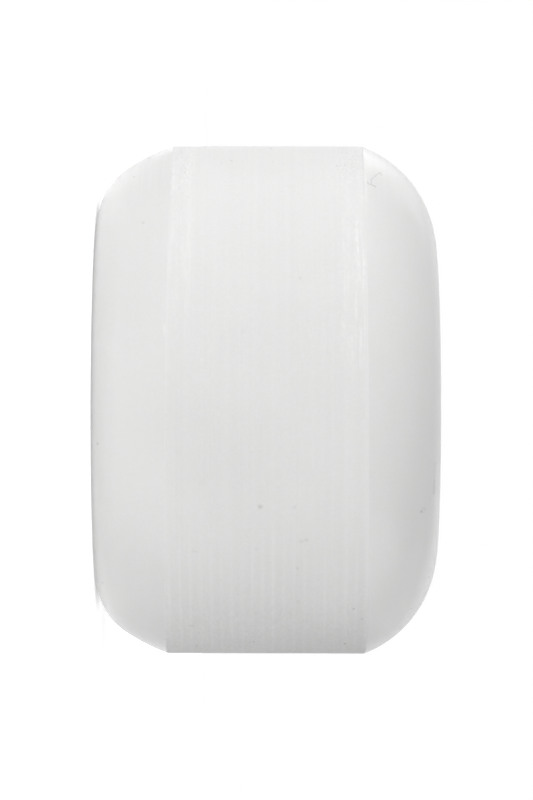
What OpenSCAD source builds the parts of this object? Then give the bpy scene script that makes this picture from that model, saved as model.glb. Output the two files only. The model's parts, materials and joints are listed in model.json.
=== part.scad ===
// Skateboard wheel, cast in one piece from white urethane and turned true across the tread.
// The axle runs along Z, and the middle of the wheel is at Z = 0. The wheel stands on the
// broad flat ring of its squarer side, and its rounder side is up.

/* [Wheel] */
// Diameter across the tread
wheel_d = 54; // [45:0.5:66]
// Width over the flat rings of the two sides
wheel_w = 36; // [30:0.5:44]
// Width of the turned band that meets the ground
tread_w = 20.4; // [16:0.1:25]

/* [Square side] */
// Radius of the long shoulder next to the tread
shoulder_r = 19.3; // [15:0.1:40]
// Radius of the corner between the shoulder and the flat ring
corner_r = 6.9; // [3:0.1:9]
// Width of the flat ring that the wheel stands on
square_ring_w = 4.7; // [2:0.1:6]

/* [Round side] */
// Width of the flat ring, which one round side curve runs out to
round_ring_w = 1.6; // [1.2:0.1:5]

/* [Hub] */
// Outer diameter of the bearing that presses into each seat
bearing_d = 22; // [18:0.5:27]
// Width of that bearing, which sits flush in its seat
bearing_w = 7; // [5:0.5:8.5]
// Length of the spacer that keeps the two bearings apart
spacer_w = 10; // [6:0.5:12]
// Step at the bottom of each seat, under the bearing's outer ring
seat_step = 2.5; // [1.5:0.1:4]
// Lead-in chamfer at the mouth of each seat
lead_in = 0.4; // [0.2:0.1:0.8]
// Chamfer on both edges of the hole through the web
web_chamfer = 0.3; // [0.1:0.1:0.8]

/* [Dish] */
// Width of the hub ring between the seat and the wall of the dish
hub_ring_w = 2.2; // [1.8:0.1:4]
// Lean of the dish wall away from the axle, in degrees
dish_draft = 9.5; // [2:0.5:20]
// Radius in the bottom corner of the dish
dish_floor_r = 1; // [0.4:0.1:1.2]
// Radius on the rim of the dish
dish_rim_r = 0.8; // [0.3:0.1:1]

/* [Hidden] */

// Longest straight piece that stands in for an arc of the section, and the fewest pieces in one
chord = 0.7;
least_steps = 6;
// The corner takes up at most this share of the largest radius that its side has room for
corner_share = 0.9;
// The round side's centre lies at least this many times the side's width in from its flat ring
centre_reach = 1.05;

tread_edge = [wheel_d / 2, tread_w / 2];
lip_z = wheel_w / 2;
web_z = spacer_w / 2;
hub_z = web_z + bearing_w;
seat_r = bearing_d / 2;
web_r = seat_r - seat_step;
dish_floor = [seat_r + hub_ring_w, hub_z];
dish_mouth = [dish_floor.x + (lip_z - hub_z) * tan(dish_draft), lip_z];

function unit(v) = v / norm(v);
function heading(v) = atan2(v.y, v.x);

// Points along an arc, without its first, which ends the stretch before it
function arc(centre, r, from, to) =
    let (
        length = PI * r * abs(to - from) / 180,
        steps = max(least_steps, ceil(length / chord))
    )
    [for (i = [1:steps]) let (a = from + (to - from) * i / steps) centre + r * [cos(a), sin(a)]];

// The arc that rounds corner q between the points p and s
function rounded(p, q, s, r) =
    let (
        u = unit(p - q),
        v = unit(s - q),
        half = acos(u * v) / 2,
        centre = q + unit(u + v) * r / sin(half),
        start = q + u * r / tan(half),
        end = q + v * r / tan(half),
        from = heading(start - centre),
        turn = (heading(end - centre) - from + 540) % 360 - 180
    )
    concat([start], arc(centre, r, from, from + turn));

// Radius of the circle that leaves the rim of a flat ring square to it and meets the tread edge
function side_radius(rim) =
    let (run = rim.y - tread_edge.y, drop = tread_edge.x - rim.x)
    (run * run + drop * drop) / (2 * run);

// Round side: one arc from the tread edge to the rim of the flat ring. It is part of a circle, or
// of an oval where a circle would stand proud of the tread.
function round_side(rim) =
    let (
        run = rim.y - tread_edge.y,
        drop = tread_edge.x - rim.x,
        r = max(side_radius(rim), centre_reach * run),
        squash = drop / sqrt(r * r - (r - run) * (r - run)),
        centre = rim - [0, r],
        curve = arc([0, 0], r, asin((r - run) / r), 90)
    )
    concat([tread_edge], [for (p = curve) centre + [squash * p.x, p.y]]);

// Square side: a long shoulder that runs smoothly into a tighter corner, and that into the ring.
// The shoulder is never so tight that it would stand proud of the tread.
function square_side(rim) =
    let (
        drop = tread_edge.x - rim.x,
        corner = min(corner_r, corner_share * min(side_radius(rim), drop)),
        corner_c = rim - [0, corner],
        gap = norm(corner_c - tread_edge),
        along = unit(corner_c - tread_edge),
        level_r = (gap * gap - corner * corner) / (2 * (drop - corner)),
        shoulder = max(shoulder_r, level_r),
        inner_r = shoulder - corner,
        reach = (shoulder * shoulder - inner_r * inner_r + gap * gap) / (2 * gap),
        offset = sqrt(max(0, shoulder * shoulder - reach * reach)),
        shoulder_c = tread_edge + reach * along + offset * [-along.y, along.x],
        blend = heading(corner_c - shoulder_c)
    )
    concat(
        [tread_edge],
        arc(shoulder_c, shoulder, heading(tread_edge - shoulder_c), blend),
        arc(corner_c, corner, blend, 90)
    );

// From the flat ring down the dish, across the hub ring and down the bearing seat to the web
function inside(rim) =
    let (seat_mouth = [seat_r + lead_in, hub_z])
    concat(
        rounded(rim, dish_mouth, dish_floor, dish_rim_r),
        rounded(dish_mouth, dish_floor, seat_mouth, dish_floor_r),
        [
            seat_mouth,
            [seat_r, hub_z - lead_in],
            [seat_r, web_z],
            [web_r + web_chamfer, web_z],
            [web_r, web_z - web_chamfer]
        ]
    );

// The same points in the opposite order, on the other side of the wheel's middle
function turned_over(points) =
    [for (i = [len(points) - 1:-1:0]) [points[i].x, -points[i].y]];

module wheel() {
    round_rim = dish_mouth + [round_ring_w, 0];
    square_rim = dish_mouth + [square_ring_w, 0];
    upper = concat(round_side(round_rim), inside(round_rim));
    lower = concat(square_side(square_rim), inside(square_rim));
    color([0.93, 0.93, 0.92])
        rotate_extrude($fn = 180)
            polygon(concat(upper, turned_over(lower)));
}

wheel();
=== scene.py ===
import json
import math
import random

import bpy
from mathutils import Matrix, Vector
from mathutils.bvhtree import BVHTree


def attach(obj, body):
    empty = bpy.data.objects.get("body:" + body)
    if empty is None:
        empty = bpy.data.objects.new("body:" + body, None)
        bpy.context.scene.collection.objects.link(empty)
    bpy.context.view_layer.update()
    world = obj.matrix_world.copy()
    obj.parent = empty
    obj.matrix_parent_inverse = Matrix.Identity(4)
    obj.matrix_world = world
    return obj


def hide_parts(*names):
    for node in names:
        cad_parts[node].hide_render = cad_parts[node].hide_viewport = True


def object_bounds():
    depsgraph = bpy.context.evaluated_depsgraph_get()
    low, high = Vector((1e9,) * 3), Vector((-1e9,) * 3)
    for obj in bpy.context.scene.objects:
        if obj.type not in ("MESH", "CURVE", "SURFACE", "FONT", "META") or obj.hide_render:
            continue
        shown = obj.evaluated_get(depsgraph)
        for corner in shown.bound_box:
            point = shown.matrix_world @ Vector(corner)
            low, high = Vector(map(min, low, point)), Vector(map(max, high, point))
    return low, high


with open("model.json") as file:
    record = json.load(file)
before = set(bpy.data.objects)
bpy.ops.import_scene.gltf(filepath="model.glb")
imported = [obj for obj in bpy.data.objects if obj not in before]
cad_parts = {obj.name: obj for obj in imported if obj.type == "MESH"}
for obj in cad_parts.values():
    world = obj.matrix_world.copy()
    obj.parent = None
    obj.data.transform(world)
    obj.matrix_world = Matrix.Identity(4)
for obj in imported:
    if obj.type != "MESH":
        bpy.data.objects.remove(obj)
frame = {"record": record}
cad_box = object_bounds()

scene = bpy.context.scene
mm = 0.001

# The picture looks square on to the tread, with the axle across it: the square side is on the left
# and the round side on the right. The distance is the one that gives the wheel's outline its
# perspective, and the camera leans by a fraction of a degree, as the wheel in the picture does.
picture_w = 533
picture_h = 800
sensor = 36.0
px_per_mm = 9.375
camera_distance = 484
camera_along_axle = -0.025
camera_lean = math.radians(0.15)

camera_data = bpy.data.cameras.new("camera")
camera_data.sensor_width = sensor
camera_data.lens = px_per_mm * camera_distance * sensor / picture_h
camera_data.clip_start = 0.01
camera = bpy.data.objects.new("camera", camera_data)
scene.collection.objects.link(camera)
scene.camera = camera

level_right = Vector((0, 0, 1))
level_up = Vector((-1, 0, 0))
picture_right = level_right * math.cos(camera_lean) + level_up * math.sin(camera_lean)
picture_up = level_up * math.cos(camera_lean) - level_right * math.sin(camera_lean)
picture_back = Vector((0, -1, 0))
eye = Vector((0, -camera_distance, camera_along_axle)) * mm
facing_the_wheel = Matrix((picture_right, picture_up, picture_back)).transposed().to_4x4()
camera.matrix_world = Matrix.Translation(eye) @ facing_the_wheel

# The wheel is one casting of white urethane. A core in the mould leaves a bearing seat and a dish in
# each side. The sides keep the mould's curves, one rounder than the other, and the tread is turned
# true to the seats on a lathe afterwards. Sizes are in millimetres.
mounts = {mount["name"]: mount for mount in frame["record"]["mounts"]}
tread_r = cad_box[1].x / mm
face_z = cad_box[1].z / mm
seat_r = mounts["bearing_seat_round_side"]["dims"]["r_mm"]
web_r = mounts["web_hole"]["dims"]["r_mm"]

# The outside: the tread, the curves of the two sides, and the flat rings that they end in
half_tread = 10.2
shoulder_r = 19.3
corner_r = 6.9
square_ring_w = 4.7
round_ring_w = 1.6

# The inside, from the web that keeps the two bearings apart to the rim of the dish
web_z = 5
bearing_w = 7
hub_z = web_z + bearing_w
web_chamfer = 0.3
lead_in = 0.4
hub_ring_w = 2.2
dish_draft = math.radians(9.5)
dish_floor_r = 1
dish_rim_r = 0.8
seat_corner_r = 0.2
edge_softness = 0.1

# The edges of the tread are rounded off, further in over the tread than out over the sides.
tread_edge_in = 0.38
tread_edge_out = 0.1

dish_floor = (seat_r + hub_ring_w, hub_z)
dish_mouth = (dish_floor[0] + (face_z - hub_z) * math.tan(dish_draft), face_z)
square_rim = dish_mouth[0] + square_ring_w
round_rim = dish_mouth[0] + round_ring_w

# How far each side of the casting lies off the tread's axle line, towards the bottom of the picture,
# and how it leans. The lathe cuts deeper where the casting stands out, so the tread is wider there.
SQUARE, ROUND = -1, 1
cast_shift = {SQUARE: 0.083, ROUND: 0.079}
cast_lean = {SQUARE: math.radians(0.05), ROUND: math.radians(-0.30)}

round_side_w = face_z - half_tread
round_side_h = tread_r - round_rim
round_arc_r = (round_side_w ** 2 + round_side_h ** 2) / (2 * round_side_w)
round_arc_centre = (round_rim, face_z - round_arc_r)
corner_centre = (square_rim, face_z - corner_r)


def shoulder_centre():
    """Centre of the circle through the tread edge that runs smoothly into the corner's circle."""
    dx = corner_centre[0] - tread_r
    dz = corner_centre[1] - half_tread
    gap = math.hypot(dx, dz)
    inner_r = shoulder_r - corner_r
    reach = (shoulder_r ** 2 - inner_r ** 2 + gap ** 2) / (2 * gap)
    offset = math.sqrt(shoulder_r ** 2 - reach ** 2)
    r = tread_r + (reach * dx - offset * dz) / gap
    z = half_tread + (reach * dz + offset * dx) / gap
    return (r, z)


shoulder_arc_centre = shoulder_centre()
blend_angle = math.atan2(
    corner_centre[1] - shoulder_arc_centre[1],
    corner_centre[0] - shoulder_arc_centre[0],
)


def on_arc(centre, radius, angle):
    return (centre[0] + radius * math.cos(angle), centre[1] + radius * math.sin(angle))


def rounded_line(corners, step, turn_step=math.radians(13)):
    """Points along a line of corners, each (r, z, rounding), with a point at least every step."""
    line = [corners[0][:2]]
    for before, here, after in zip(corners, corners[1:], corners[2:]):
        corner = Vector(here[:2])
        to_before = (Vector(before[:2]) - corner).normalized()
        to_after = (Vector(after[:2]) - corner).normalized()
        half = to_before.angle(to_after) / 2
        cut = here[2] / math.tan(half)
        centre = corner + (to_before + to_after).normalized() * here[2] / math.sin(half)
        start = corner + to_before * cut - centre
        turn = start.angle_signed(corner + to_after * cut - centre)
        steps = max(2, math.ceil(abs(turn) / turn_step))
        for i in range(steps + 1):
            spoke = start.copy()
            spoke.rotate(Matrix.Rotation(-turn * i / steps, 2))
            line.append(tuple(centre + spoke))
    line.append(corners[-1][:2])
    filled = [line[0]]
    for a, b in zip(line, line[1:]):
        pieces = max(1, math.ceil(math.dist(a, b) / step))
        filled += [tuple(Vector(a).lerp(Vector(b), i / pieces)) for i in range(1, pieces + 1)]
    return filled


def inside(rim):
    """The bore, web, bearing seat, hub ring, dish and flat ring of one side, from the middle out."""
    return rounded_line(
        [
            (web_r, 0, 0),
            (web_r, web_z - web_chamfer, edge_softness),
            (web_r + web_chamfer, web_z, edge_softness),
            (seat_r, web_z, seat_corner_r),
            (seat_r, hub_z - lead_in, edge_softness),
            (seat_r + lead_in, hub_z, edge_softness),
            (*dish_floor, dish_floor_r),
            (*dish_mouth, dish_rim_r),
            (rim, face_z, 0),
        ],
        step=1.0,
    )[:-1]


def as_cast(point, side, turn):
    """Where a point (r, z) of one side lies at this turn round the axle, with its shift and lean."""
    r, z = point
    x = r * math.cos(turn)
    z = side * z
    lean = math.sin(cast_lean[side])
    moved_z = max(-face_z, min(face_z, z - x * lean))
    return Vector((x + z * lean + cast_shift[side], r * math.sin(turn), moved_z))


# How often the search for the edge of the tread halves its range
halvings = 30


def tread_angle(side, turn, centre, radius):
    """The angle on a side's arc at which the casting meets the turned tread."""
    low = 0.0
    high = blend_angle if side == SQUARE else math.pi / 2
    for _ in range(halvings):
        middle = (low + high) / 2
        if as_cast(on_arc(centre, radius, middle), side, turn).xy.length > tread_r:
            low = middle
        else:
            high = middle
    return high


# The lathe's feed leaves a low ridge every turn, and finer lines between the ridges. The fine lines
# run on a little past both edges of the tread.
feed = 1.065
feed_phase = 0.35
ridge_h = 0.005
fine_line_h = 0.0014
fine_line_step = 0.1
fine_line_margin = 1
dice = random.Random(54)
margin_lines = round(2 * fine_line_margin / fine_line_step)
fine_line_count = int(2 * half_tread / fine_line_step) + margin_lines
fine_lines = [dice.uniform(0, fine_line_h) for _ in range(fine_line_count)]


def turned_r(z):
    """The radius that the tool leaves at this place along the axle."""
    part_of_turn = ((z + feed_phase) / feed) % 1
    scallop = ridge_h * (1 - (2 * part_of_turn - 1) ** 2)
    index, rest = divmod((z + half_tread + fine_line_margin) / fine_line_step, 1)
    fine = fine_lines[int(index)] * (1 - rest) + fine_lines[int(index) + 1] * rest
    return tread_r - scallop - fine


# How many steps each arc of the two sides is made in
corner_steps = 26
shoulder_steps = 14
round_steps = 56


def side_curve(side, turn):
    """Points of one cast side, from its flat ring to the turned tread, and the tread edge."""
    points = []
    if side == SQUARE:
        centre, radius = shoulder_arc_centre, shoulder_r
        first = blend_angle
        for i in range(corner_steps):
            angle = math.pi / 2 + (blend_angle - math.pi / 2) * i / corner_steps
            points.append(as_cast(on_arc(corner_centre, corner_r, angle), side, turn))
        steps = shoulder_steps
    else:
        centre, radius = round_arc_centre, round_arc_r
        first = math.pi / 2
        steps = round_steps
    edge = tread_angle(side, turn, centre, radius)
    last = edge + tread_edge_out / radius
    for i in range(steps + 1):
        angle = first + (last - first) * i / steps
        points.append(as_cast(on_arc(centre, radius, angle), side, turn))
    return points, as_cast(on_arc(centre, radius, edge), side, turn)


def softened(before, corner, after):
    """Three points that round the corner between two points that are kept."""
    return [
        before * (1 - t) ** 2 + corner * 2 * t * (1 - t) + after * t ** 2
        for t in (0.25, 0.5, 0.75)
    ]


# Up to here from the middle, the tread's rows are the same all round. A few more on each side fill
# in as far as its rounded edges, which have the turned finish too.
steady_half_w = 9.3
steady_steps = round(steady_half_w / fine_line_step)
tread_rows = [i * fine_line_step for i in range(-steady_steps, steady_steps + 1)]
margin_steps = 6


def section(turn):
    """The wheel's section at this turn round the axle, and the rows where its turned part ends."""
    facing = Vector((math.cos(turn), math.sin(turn), 0))
    axle = Vector((0, 0, 1))
    points = [facing * r - axle * z for r, z in inside(square_rim)]
    square, square_edge = side_curve(SQUARE, turn)
    points += square
    low = square_edge.z + tread_edge_in
    tread_start = facing * turned_r(low) + axle * low
    tread_first = len(points) - 1
    points += softened(square[-1], square_edge, tread_start)
    rounding, round_edge = side_curve(ROUND, turn)
    high = round_edge.z - tread_edge_in
    margin = [low + (tread_rows[0] - low) * i / margin_steps for i in range(margin_steps)]
    far_margin = [high + (tread_rows[-1] - high) * i / margin_steps for i in range(margin_steps)]
    tread = [facing * turned_r(z) + axle * z for z in margin + tread_rows + far_margin[::-1]]
    points += tread
    points += softened(tread[-1], round_edge, rounding[-1])
    tread_last = len(points)
    points += rounding[::-1]
    points += [facing * r + axle * z for r, z in inside(round_rim)[::-1]][:-1]
    return points, tread_first, tread_last


sections = 216
rings = [section(2 * math.pi * i / sections)[0] for i in range(sections)]
_, tread_first, tread_last = section(0)
rows = len(rings[0])
vertices = [point * mm for ring in rings for point in ring]
faces = []
for i in range(sections):
    here = i * rows
    beside = (i + 1) % sections * rows
    for k in range(rows):
        after = (k + 1) % rows
        faces.append((here + k, beside + k, beside + after, here + after))

wheel_mesh = bpy.data.meshes.new("urethane_wheel")
wheel_mesh.from_pydata(vertices, [], faces)
wheel_mesh.polygons.foreach_set("use_smooth", [True] * len(faces))
wheel = bpy.data.objects.new("urethane_wheel", wheel_mesh)
scene.collection.objects.link(wheel)

# How far along the section each point lies, in millimetres from the middle of the tread. Lines that
# run round the wheel follow it, on the tread and on the sides alike.
along = [0.0]
for a, b in zip(rings[0], rings[0][1:]):
    along.append(along[-1] + (b - a).length)
middle_row = min(range(tread_first, tread_last), key=lambda k: abs(rings[0][k].z))
along = [s - along[middle_row] for s in along]
section_mm = wheel_mesh.attributes.new("section_mm", "FLOAT", "POINT")
section_mm.data.foreach_set("value", along * sections)


def node(tree, kind, **settings):
    made = tree.nodes.new(kind)
    for name, value in settings.items():
        setattr(made, name, value)
    return made


def connect(tree, source, socket):
    """Links a socket to another one, or sets it to a plain value."""
    if isinstance(source, bpy.types.NodeSocket):
        tree.links.new(source, socket)
    else:
        socket.default_value = source


def maths(tree, operation, *inputs, clamp=False):
    made = node(tree, "ShaderNodeMath", operation=operation, use_clamp=clamp)
    for source, socket in zip(inputs, made.inputs):
        connect(tree, source, socket)
    return made.outputs[0]


def vector_maths(tree, operation, *inputs):
    made = node(tree, "ShaderNodeVectorMath", operation=operation)
    for source, socket in zip(inputs, made.inputs):
        connect(tree, source, socket)
    gives_one_value = operation in ("DISTANCE", "DOT_PRODUCT", "LENGTH")
    return made.outputs["Value" if gives_one_value else "Vector"]


def scaled(tree, vector, factor):
    made = node(tree, "ShaderNodeVectorMath", operation="SCALE")
    connect(tree, vector, made.inputs["Vector"])
    connect(tree, factor, made.inputs["Scale"])
    return made.outputs["Vector"]


def ramp(tree, source, low, high, bottom=0.0, top=1.0):
    """A smooth step of source from bottom at low to top at high."""
    made = node(tree, "ShaderNodeMapRange", interpolation_type="SMOOTHSTEP")
    limits = {"Value": source, "From Min": low, "From Max": high, "To Min": bottom, "To Max": top}
    for name, value in limits.items():
        connect(tree, value, made.inputs[name])
    return made.outputs["Result"]


def window(tree, source, low, high, soft):
    """1 between low and high, and 0 beyond, with soft edges of that width."""
    rise = ramp(tree, source, low - soft / 2, low + soft / 2)
    fall = ramp(tree, source, high - soft / 2, high + soft / 2, 1.0, 0.0)
    return maths(tree, "MULTIPLY", rise, fall)


def swing(tree, noise):
    """A noise that lies round a half, brought to lie round nought."""
    return maths(tree, "SUBTRACT", noise, 0.5)


def new_group(name, inputs, output):
    """An empty shader group that takes these values, with their usual ones, and gives one value."""
    group = bpy.data.node_groups.new(name, "ShaderNodeTree")
    for label, usual in inputs.items():
        socket = group.interface.new_socket(label, in_out="INPUT", socket_type="NodeSocketFloat")
        socket.default_value = usual
    group.interface.new_socket(output, in_out="OUTPUT", socket_type="NodeSocketFloat")
    given = node(group, "NodeGroupInput").outputs
    put_out = node(group, "NodeGroupOutput").inputs[output]
    return group, given, put_out


def place(tree, group, **values):
    """What a shader group gives in this material, with these values of its own."""
    made = node(tree, "ShaderNodeGroup", node_tree=group)
    for label, value in values.items():
        connect(tree, value, made.inputs[label])
    return made.outputs[0]


def in_mm(tree):
    """The place on the object in millimetres."""
    return scaled(tree, node(tree, "ShaderNodeTexCoord").outputs["Object"], 1 / mm)


def in_three(tree, vector):
    made = node(tree, "ShaderNodeSeparateXYZ")
    connect(tree, vector, made.inputs[0])
    return made.outputs


# Lines that run round the wheel: a noise drawn out along the circumference.
line_group, given, lines_out = new_group(
    "lines_round_the_wheel", {"Pitch": 0.35, "Run": 40.0, "Seed": 0.0}, "Lines"
)
x_mm, y_mm, _ = in_three(line_group, in_mm(line_group))
section_at = node(line_group, "ShaderNodeAttribute", attribute_name="section_mm").outputs["Fac"]
stretched = node(line_group, "ShaderNodeCombineXYZ")
connect(line_group, maths(line_group, "DIVIDE", x_mm, given["Run"]), stretched.inputs[0])
connect(line_group, maths(line_group, "DIVIDE", y_mm, given["Run"]), stretched.inputs[1])
connect(line_group, maths(line_group, "DIVIDE", section_at, given["Pitch"]), stretched.inputs[2])
noise = node(line_group, "ShaderNodeTexNoise", noise_dimensions="4D")
connect(line_group, stretched.outputs[0], noise.inputs["Vector"])
connect(line_group, given["Seed"], noise.inputs["W"])
noise.inputs["Scale"].default_value = 1
noise.inputs["Detail"].default_value = 1.5
connect(line_group, noise.outputs["Fac"], lines_out)

# Clouding: the faint unevenness in tone and gloss of cast urethane.
cloud_group, given, tone_out = new_group("clouding", {"Size": 6.0, "Depth": 0.02}, "Tone")
noise = node(cloud_group, "ShaderNodeTexNoise")
connect(cloud_group, in_mm(cloud_group), noise.inputs["Vector"])
connect(cloud_group, maths(cloud_group, "DIVIDE", 1.0, given["Size"]), noise.inputs["Scale"])
noise.inputs["Detail"].default_value = 3
uneven = maths(cloud_group, "MULTIPLY", swing(cloud_group, noise.outputs["Fac"]), given["Depth"])
connect(cloud_group, uneven, tone_out)

# Specks that the wheel carries: the pixel of the picture where each shows, its radius in
# millimetres and the share of the light that it takes away, which is under nought for a light one
specks = [
    ((260, 507), 0.34, 0.19), ((294.5, 507.5), 0.30, 0.07), ((306.7, 540), 0.28, 0.11),
    ((300.7, 541.7), 0.28, 0.08), ((303.7, 541), 0.20, 0.06), ((97.7, 444), 0.20, 0.22),
    ((429, 577), 0.22, 0.28), ((256.7, 549.5), 0.24, 0.06), ((193.5, 551.5), 0.26, 0.06),
    ((196.5, 552), 0.20, 0.05), ((353.5, 609), 0.18, 0.26), ((345, 644), 0.20, 0.30),
    ((411, 609), 0.18, 0.20), ((166, 640), 0.18, 0.26), ((197, 646), 0.18, 0.28),
    ((254, 642), 0.16, 0.24), ((297.5, 568.5), 0.24, 0.09), ((362, 619), 0.15, 0.20),
    ((298, 602), 0.20, 0.06), ((102.7, 583), 0.18, 0.18), ((149, 158.5), 0.18, 0.34),
    ((134, 177), 0.14, 0.24), ((143, 223), 0.20, 0.11), ((184.5, 173), 0.14, 0.12),
    ((231.5, 161), 0.15, 0.18), ((273, 162), 0.13, 0.10), ((271, 148.5), 0.15, 0.34),
    ((337, 166), 0.15, 0.20), ((345, 165.5), 0.14, 0.15), ((397, 178), 0.14, 0.18),
    ((176.7, 158), 0.13, 0.12), ((221.7, 163), 0.15, 0.08), ((225, 171.5), 0.13, 0.06),
    ((302.5, 165.7), 0.13, 0.10), ((281.7, 191.5), 0.15, 0.06), ((300, 278.5), 0.24, 0.07),
    ((221.7, 339), 0.30, 0.025), ((178, 453), 0.45, 0.022), ((202, 483), 0.45, 0.020),
    ((202, 360), 0.22, -0.04), ((218.5, 414), 0.24, -0.04), ((421.4, 511.7), 0.22, 0.24),
]

# Broad patches where the urethane is a shade darker or lighter, given in the same way
patches = [
    ((200, 445), 9.0, 0.025), ((250, 470), 7.0, 0.012), ((135, 410), 7.0, 0.018),
    ((135, 605), 5.0, -0.035), ((337, 600), 5.0, -0.028),
]

# Scratches, hairs and nicks: the two ends, half the width and the share of the light
scratches = [
    ((381.8, 175.6), (380.4, 173.2), 0.06, 0.20), ((379.6, 172.8), (372.0, 178.6), 0.06, 0.19),
    ((371.4, 179.4), (371.1, 183.8), 0.06, 0.16), ((371.7, 185.0), (375.5, 187.2), 0.06, 0.27),
    ((367.3, 181.9), (368.0, 183.5), 0.06, 0.19), ((368.6, 184.0), (370.7, 184.7), 0.06, 0.16),
    ((434.7, 464), (434.5, 478), 0.18, 0.06), ((434.4, 481), (434.1, 493), 0.18, 0.14),
    ((422.0, 509.6), (423.6, 508.2), 0.08, 0.08), ((424.2, 508.3), (425.8, 510.0), 0.08, 0.08),
    ((425.6, 510.8), (423.8, 512.6), 0.08, 0.06), ((190, 626), (193, 626), 0.10, 0.12),
    ((242.3, 332.5), (245.7, 329.5), 0.14, 0.025), ((164, 326), (164.3, 334), 0.10, -0.05),
]

wheel_shape = BVHTree.FromPolygons(vertices, faces)
picture_middle = Vector((picture_w, picture_h)) / 2

# Near the wheel's outline a mark is seen along the surface, so depth counts for less than the two
# directions across the picture.
depth_share = 0.35
flatten = Vector((1, depth_share, 1))


def on_the_wheel(pixel):
    """The point of the wheel, in flattened millimetres, that shows at a pixel of the picture."""
    across, down = Vector(pixel) - picture_middle
    sight = -picture_back * px_per_mm * camera_distance + picture_right * across - picture_up * down
    hit = wheel_shape.ray_cast(eye, sight)[0]
    return hit / mm * flatten


# Each mark fades out between these two shares of its radius or half width, and its outline wobbles
# in and out by about this many millimetres.
speck_fade = (0.1, 1.1)
scratch_fade = (0.5, 1.5)
wobble = 0.12
wobbles_per_mm = 4

mark_group, _, taken_out = new_group("marks", {}, "Light taken")
where = vector_maths(mark_group, "MULTIPLY", in_mm(mark_group), flatten)
jitter = node(mark_group, "ShaderNodeTexNoise")
connect(mark_group, where, jitter.inputs["Vector"])
jitter.inputs["Scale"].default_value = wobbles_per_mm
offset = vector_maths(
    mark_group, "MULTIPLY_ADD", jitter.outputs["Color"], [2 * wobble] * 3, [-wobble] * 3
)
roughly = vector_maths(mark_group, "ADD", where, offset)


def add_mark(so_far, gap, size, fade, strength):
    """The light taken so far, with that of one more mark, by the gap from its middle."""
    near = ramp(mark_group, gap, size * fade[0], size * fade[1], 1.0, 0.0)
    return maths(mark_group, "MULTIPLY_ADD", near, strength, so_far)


taken = 0.0
for pixel, radius, strength in specks + patches:
    gap = vector_maths(mark_group, "DISTANCE", roughly, on_the_wheel(pixel))
    taken = add_mark(taken, gap, radius, speck_fade, strength)
for start, end, half_w, strength in scratches:
    tip = on_the_wheel(start)
    span = on_the_wheel(end) - tip
    from_tip = vector_maths(mark_group, "SUBTRACT", roughly, tip)
    share = vector_maths(mark_group, "DOT_PRODUCT", from_tip, span / span.length_squared)
    foot = scaled(mark_group, span, maths(mark_group, "ADD", share, 0.0, clamp=True))
    gap = vector_maths(mark_group, "DISTANCE", from_tip, foot)
    taken = add_mark(taken, gap, half_w, scratch_fade, strength)
connect(mark_group, taken, taken_out)

# One urethane, in two finishes: the turned tread, and the sides and hub as they left the mould.
urethane_white = (0.84, 0.84, 0.835)
urethane_ior = 1.5
subsurface_share = 0.35
subsurface_tint = (1.0, 0.95, 0.9)
subsurface_mm = 1.6


def urethane(name, roughness):
    """A white urethane material with no finish yet, its nodes and its shader."""
    material = bpy.data.materials.new(name)
    material.use_nodes = True
    tree = material.node_tree
    skin = tree.nodes["Principled BSDF"]
    skin.inputs["IOR"].default_value = urethane_ior
    skin.inputs["Subsurface Weight"].default_value = subsurface_share
    skin.inputs["Subsurface Radius"].default_value = subsurface_tint
    skin.inputs["Subsurface Scale"].default_value = subsurface_mm * mm
    skin.inputs["Roughness"].default_value = roughness
    return material, tree, skin


def toned(tree, *effects):
    """Plain urethane's tone, which is 1, with each effect added at its own depth."""
    tone = 1.0
    for effect, depth in effects:
        tone = maths(tree, "MULTIPLY_ADD", effect, depth, tone)
    return tone


def finish_urethane(tree, skin, tone, roughness, height, bump_mm):
    """Joins the tone, the roughness and the height to the skin, with the marks over them."""
    clean = maths(tree, "SUBTRACT", 1.0, place(tree, mark_group))
    colour = scaled(tree, urethane_white, maths(tree, "MULTIPLY", tone, clean))
    connect(tree, colour, skin.inputs["Base Color"])
    connect(tree, roughness, skin.inputs["Roughness"])
    bump = node(tree, "ShaderNodeBump")
    bump.inputs["Distance"].default_value = bump_mm * mm
    connect(tree, height, bump.inputs["Height"])
    connect(tree, bump.outputs["Normal"], skin.inputs["Normal"])


# The turned tread: lines of several kinds, fine and coarse, over clouding and grain
turned_roughness = 0.55
turned, tree, skin = urethane("turned_urethane", turned_roughness)
x_mm, _, z_mm = in_three(tree, in_mm(tree))
fine = place(tree, line_group, Pitch=0.22, Run=60.0, Seed=1.0)
coarse = place(tree, line_group, Pitch=0.9, Run=45.0, Seed=4.0)
broken = place(tree, line_group, Pitch=0.30, Run=6.0, Seed=9.0)
chips = place(tree, line_group, Pitch=0.24, Run=0.8, Seed=12.0)
patchy = place(tree, line_group, Pitch=1.6, Run=9.0, Seed=21.0)
cloud = place(tree, cloud_group, Size=5.0, Depth=0.03)
grain = place(tree, cloud_group, Size=0.3, Depth=0.065)

# Bright streaks in a band near each edge of the tread: turning marks, raised in the bump, whose
# brightness near the top of the picture is a painted highlight. A band is given across the tread and
# down the picture, each time from where to where in millimetres from the middle, and how softly it
# ends.
left_band_across = (-10.0, -7.45, 0.9)
left_band_down = (-30, -9, 7)
left_band_share = 0.5
right_band_across = (7.4, 10.1, 0.9)
right_band_core = (9.0, 9.95, 0.3)
right_band_down = (-20, -2.5, 8)
right_band_share = 0.7
left_across = window(tree, z_mm, *left_band_across)
left_band = maths(tree, "MULTIPLY", left_across, window(tree, x_mm, *left_band_down))
right_core = window(tree, z_mm, *right_band_core)
right_across = maths(tree, "ADD", window(tree, z_mm, *right_band_across), right_core)
right_band = maths(tree, "MULTIPLY", right_across, window(tree, x_mm, *right_band_down))
glint_bands = maths(tree, "MULTIPLY", left_band, left_band_share)
glint_bands = maths(tree, "MULTIPLY_ADD", right_band, right_band_share, glint_bands)

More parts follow.
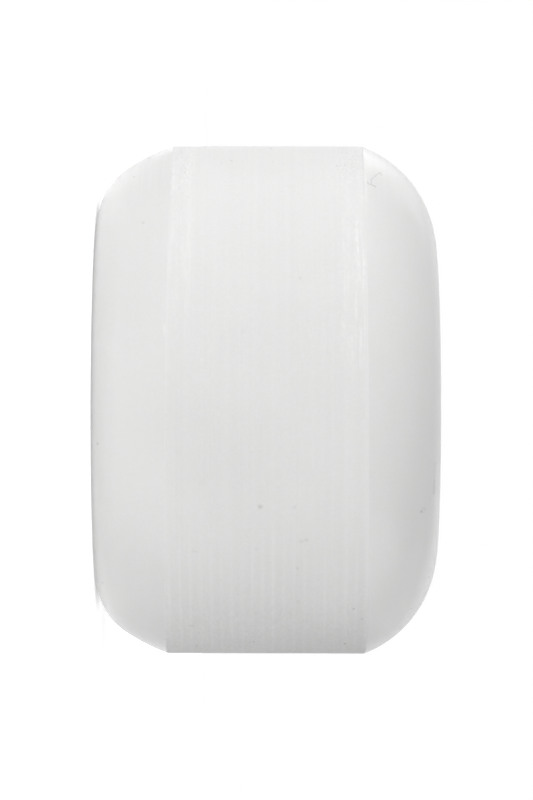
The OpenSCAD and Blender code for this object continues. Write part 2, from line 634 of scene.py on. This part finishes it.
# A streak starts to show at the first level of its noise and is full at the second. Chips along it
# change how bright it is in the same way, from the first of these two amounts to the second.
streak_levels = (0.40, 0.68)
chip_levels = (0.36, 0.62)
chip_light = (0.25, 1.6)
chipped = ramp(tree, chips, *chip_levels, *chip_light)
streak = maths(tree, "MULTIPLY", ramp(tree, broken, *streak_levels), chipped)
glinting_streaks = maths(tree, "MULTIPLY", glint_bands, streak)

# The ridges of the feed catch the light over the lower part of the tread, and that light is painted
# on their crests as a highlight, with crumbs of urethane further down. A ridge's painted highlight
# is brightest on its crest and gone by this share of a turn from it, and in patches it is weaker.
crest_glint_down = (10, 20)
crumbs_down = (17, 24)
crest_w = 0.30
patch_levels = (0.35, 0.6)
patch_light = (0.6, 1.1)
turns = maths(tree, "DIVIDE", maths(tree, "ADD", z_mm, feed_phase + feed / 2), feed)
off_crest = maths(tree, "SUBTRACT", maths(tree, "FRACT", turns), 0.5)
crest = ramp(tree, maths(tree, "ABSOLUTE", off_crest), 0.0, crest_w, 1.0, 0.0)
crest_glint = maths(tree, "MULTIPLY", crest, ramp(tree, patchy, *patch_levels, *patch_light))
crest_glints = maths(tree, "MULTIPLY", crest_glint, ramp(tree, x_mm, *crest_glint_down))
crumbs = maths(tree, "MULTIPLY", swing(tree, chips), ramp(tree, x_mm, *crumbs_down))

# The tool has chattered over the top of the tread, most of all near both edges.
between_edges = (-7.4, 7.4, 1.0)
chatter_down = (-25.0, -18.0)
middle_chatter = 0.15
rattle = place(tree, line_group, Pitch=0.13, Run=0.6, Seed=30.0)
near_edges = maths(tree, "SUBTRACT", 1 + middle_chatter, window(tree, z_mm, *between_edges))
chatter = maths(tree, "MULTIPLY", near_edges, ramp(tree, x_mm, *chatter_down, 1.0, 0.0))
chatter = maths(tree, "MULTIPLY", chatter, swing(tree, rattle))

# The rounded edges are painted a shade darker there, a painted shade that keeps them from shining
# out as lines.
edge_across = (9.9, 10.6, 0.3)
edge_down = (-24.0, -12.0)
painted_edge_shade = window(tree, maths(tree, "ABSOLUTE", z_mm), *edge_across)
painted_edge_shade = maths(tree, "MULTIPLY", painted_edge_shade, ramp(tree, x_mm, *edge_down, 1.0, 0.0))

# What each of these adds to the tone where it is at its fullest
turned_tone = toned(
    tree,
    (cloud, 1.0),
    (grain, 1.0),
    (swing(tree, fine), 0.042),
    (swing(tree, coarse), 0.03),
    (swing(tree, chips), 0.025),
    # painted shade on the rounded edges
    (painted_edge_shade, -0.06),
    # painted highlights: the bright bands and streaks near the edges at the top
    (glint_bands, 0.008),
    (glinting_streaks, 0.045),
    (crumbs, 0.14),
    # painted highlight on the crests of the feed ridges
    (crest_glints, 0.03),
    (chatter, 0.22),
)
roughness_swing = 0.12
streak_height = 0.6
turned_bump_mm = 0.004
roughness = maths(tree, "MULTIPLY_ADD", swing(tree, coarse), roughness_swing, turned_roughness)
height = maths(tree, "ADD", fine, maths(tree, "MULTIPLY", glinting_streaks, streak_height))
finish_urethane(tree, skin, turned_tone, roughness, height, turned_bump_mm)

# The cast sides: smoother, with faint lines from the turned mould, which show most at the top
cast_roughness = 0.22
cloud_roughness = 2.0
mould_lines_down = (-25, -19)
mould_line_depths = (0.10, 0.012)
cast_bump_mm = 0.0015
cast, tree, skin = urethane("cast_urethane", cast_roughness)
x_mm = in_three(tree, in_mm(tree))[0]
mould_lines = place(tree, line_group, Pitch=0.4, Run=30.0, Seed=2.0)
cloud = place(tree, cloud_group, Size=7.0, Depth=0.03)
grain = place(tree, cloud_group, Size=0.3, Depth=0.05)
mould_line_depth = ramp(tree, x_mm, *mould_lines_down, *mould_line_depths)
cast_tone = toned(tree, (swing(tree, mould_lines), mould_line_depth), (cloud, 1.0), (grain, 1.0))
roughness = maths(tree, "MULTIPLY_ADD", cloud, cloud_roughness, cast_roughness)
finish_urethane(tree, skin, cast_tone, roughness, mould_lines, cast_bump_mm)

TURNED, CAST = 0, 1
wheel_mesh.materials.append(turned)
wheel_mesh.materials.append(cast)
finish_of_row = [TURNED if tread_first <= k < tread_last else CAST for k in range(rows)]
wheel_mesh.polygons.foreach_set("material_index", finish_of_row * sections)

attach(wheel, "root")
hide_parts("wheel")

# A plain pale floor, which the wheel stands on by the flat ring of its square side. Like a light
# table it glows a little, from its far end at the top of the picture to just past the wheel. What
# looks at it sees white, which is painted greyer round the wheel and fades out under its curve: a
# painted shade at its foot and bore, over their real shadow.
floor_reach = 0.8
floor_z = cad_box[0].z
corners = [(x * floor_reach, y * floor_reach, 0) for x, y in ((-1, -1), (1, -1), (1, 1), (-1, 1))]
floor_mesh = bpy.data.meshes.new("floor")
floor_mesh.from_pydata(corners, [], [(0, 1, 2, 3)])
floor = bpy.data.objects.new("floor", floor_mesh)
floor.location.z = floor_z
scene.collection.objects.link(floor)


def seen_directly(tree):
    """1 for what the camera sees itself, in a reflection or through something clear, and else 0."""
    path = node(tree, "ShaderNodeLightPath").outputs
    seen = maths(tree, "ADD", path["Is Camera Ray"], path["Is Glossy Ray"], clamp=True)
    return maths(tree, "ADD", seen, path["Is Transmission Ray"], clamp=True)


def glowing_board(tree, grey, glow):
    """A matt board of this grey that gives off some light of its own."""
    board = node(tree, "ShaderNodeBsdfDiffuse")
    board.inputs["Color"].default_value = (grey, grey, grey, 1)
    light = node(tree, "ShaderNodeEmission")
    connect(tree, glow, light.inputs["Strength"])
    both = node(tree, "ShaderNodeAddShader")
    connect(tree, board.outputs[0], both.inputs[0])
    connect(tree, light.outputs[0], both.inputs[1])
    return both.outputs[0]


def either(tree, unseen, seen):
    """One shader for the light that falls on the wheel, and another for what is seen directly."""
    mix = node(tree, "ShaderNodeMixShader")
    connect(tree, seen_directly(tree), mix.inputs[0])
    connect(tree, unseen, mix.inputs[1])
    connect(tree, seen, mix.inputs[2])
    return mix.outputs[0]


# How the floor lights the wheel: its glow, and where in metres down the picture that fades out
floor_grey = 0.6
table_glow = 0.312
table_edge = (0.03, 0.08)

# How it is seen: white further off, painted greyer close by, and painted dark under the wheel as a
# shade at its foot, with the distances from the axle in metres between which one turns into the next
seen_grey = 0.95
near_glow = 0.65
far_glow = 1.0
foot_shade_radii = (0.017, 0.025)
near_and_far = (0.03, 0.15)

floor_paint = bpy.data.materials.new("pale_floor")
floor_paint.use_nodes = True
tree = floor_paint.node_tree
tree.nodes.clear()
on_floor = node(tree, "ShaderNodeTexCoord").outputs["Object"]
table_light = ramp(tree, in_three(tree, on_floor)[0], *table_edge, table_glow, 0.0)
from_axle = vector_maths(tree, "LENGTH", on_floor)
white = ramp(tree, from_axle, *near_and_far, near_glow, far_glow)
# painted shade: the seen glow fades out under the wheel's curve
white = maths(tree, "MULTIPLY", white, ramp(tree, from_axle, *foot_shade_radii))
light_table = glowing_board(tree, floor_grey, table_light)
floor_shader = either(tree, light_table, glowing_board(tree, seen_grey, white))
connect(tree, floor_shader, node(tree, "ShaderNodeOutputMaterial").inputs["Surface"])
floor_mesh.materials.append(floor_paint)

# The room is dim, and a little brighter towards the bottom of the picture, so that this part of the
# wheel isn't lost in shade. Whatever looks at it sees plain white.
room_level = 0.06
room_low = 0.08
room_seen = 1.0
world = bpy.data.worlds.new("room")
scene.world = world
world.use_nodes = True
tree = world.node_tree
tree.nodes.clear()


def wall(tree, strength):
    made = node(tree, "ShaderNodeBackground")
    made.inputs["Color"].default_value = (1, 1, 1, 1)
    connect(tree, strength, made.inputs["Strength"])
    return made.outputs[0]


towards = in_three(tree, node(tree, "ShaderNodeTexCoord").outputs["Generated"])
low = maths(tree, "MULTIPLY", maths(tree, "MAXIMUM", towards[0], 0.0), room_low)
dim_wall = wall(tree, maths(tree, "ADD", low, room_level))
room = either(tree, dim_wall, wall(tree, room_seen))
connect(tree, room, node(tree, "ShaderNodeOutputWorld").inputs["Surface"])


# Soft lamps all round. The two strong ones, at the top and the front of the picture, leave no
# reflection. The weaker ones above, below and behind the wheel glance off its edges.
def soft_lamp(name, place_m, size_m, watts, in_gloss):
    """A square soft lamp that faces the wheel. Where in_gloss is false, nothing reflects it."""
    data = bpy.data.lights.new(name, "AREA")
    data.shape = "SQUARE"
    data.size = size_m
    data.energy = watts
    lamp = bpy.data.objects.new(name, data)
    lamp.location = place_m
    lamp.rotation_mode = "QUATERNION"
    lamp.rotation_quaternion = (-Vector(place_m)).to_track_quat("-Z", "Y")
    lamp.visible_camera = False
    lamp.visible_glossy = in_gloss
    scene.collection.objects.link(lamp)


soft_lamp("top_lamp", (-1.3, 0.0, 0.45), size_m=0.8, watts=7.0, in_gloss=False)
soft_lamp("front_lamp", (0.08, -1.3, 0.42), size_m=0.8, watts=11.2, in_gloss=False)
soft_lamp("overhead_lamp", (-1.3, 0.4, 0.2), size_m=0.6, watts=3.0, in_gloss=True)
soft_lamp("top_edge_lamp", (-0.9, 1.1, 0.1), size_m=0.75, watts=0.7, in_gloss=True)
soft_lamp("low_lamp", (1.0, 0.0, 0.7), size_m=0.8, watts=1.35, in_gloss=True)
soft_lamp("top_back_lamp", (-0.8, 1.2, 0.45), size_m=0.8, watts=0.6, in_gloss=True)
soft_lamp("low_back_lamp", (0.8, 0.8, 0.8), size_m=0.8, watts=0.5, in_gloss=True)
soft_lamp("low_edge_lamp", (0.28, 1.2, 0.6), size_m=0.42, watts=0.1, in_gloss=True)

scene.view_settings.view_transform = "Standard"
